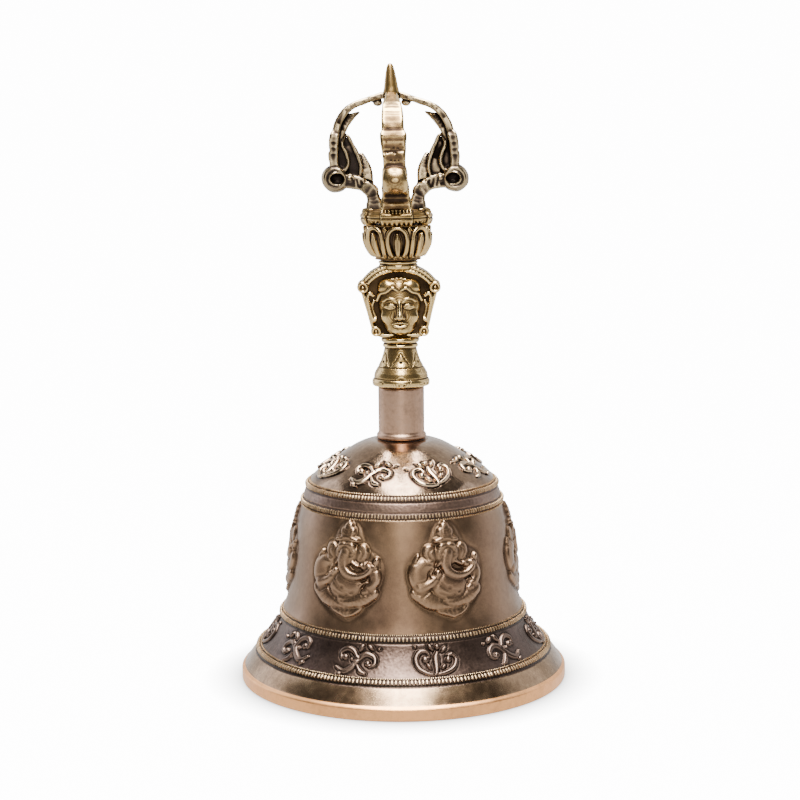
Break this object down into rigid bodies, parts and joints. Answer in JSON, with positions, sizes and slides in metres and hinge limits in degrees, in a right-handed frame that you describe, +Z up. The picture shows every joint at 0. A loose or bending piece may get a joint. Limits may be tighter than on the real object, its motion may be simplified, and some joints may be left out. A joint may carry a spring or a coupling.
{
  "type": "hand bell",
  "caption": "Tibetan hand bell with a flared bronze body, a two-faced brass handle column, a pronged crown and a clapper hung on a link.",
  "frame": {"origin": "on the bell's axis in the plane of its rim", "axes": "+Z up along the bell's axis towards the handle's tip, -Y the way the front face on the handle looks, +X to that viewer's right"},
  "size_m": [0.09, 0.09, 0.1677],
  "materials": {
    "bell_bronze": "dark brushed bronze with polished rim",
    "neck_bronze": "satin turned bronze",
    "handle_brass": "polished brass with dark patina in the recesses",
    "hanger_steel": "plain zinc-grey steel",
    "clapper_brass": "satin turned brass"
  },
  "bodies": {
    "bell": {"bell_shell": "bell_bronze", "neck_sleeve": "neck_bronze", "head_column": "handle_brass", "lotus_cup": "handle_brass", "prong_plinth": "handle_brass", "prong_right": "handle_brass", "prong_back": "handle_brass", "prong_left": "handle_brass", "prong_front": "handle_brass", "centre_spire": "handle_brass", "crown_washer": "hanger_steel", "hanger_nut": "hanger_steel", "eye_bolt": "hanger_steel"},
    "link": {"hanger_link": "hanger_steel"},
    "clapper": {"clapper_rod": "hanger_steel", "clapper_ball": "clapper_brass"}
  },
  "joints": [
    {"name": "link_rock", "type": "hinge", "parent": "bell", "child": "link", "pos_m": [0, 0, 0.0494], "axis": [1, 0, 0], "range_deg": [-28, 28]},
    {"name": "clapper_swing", "type": "hinge", "parent": "link", "child": "clapper", "pos_m": [0, 0, 0.0424], "axis": [0, 1, 0], "range_deg": [-33, 33]}
  ]
}
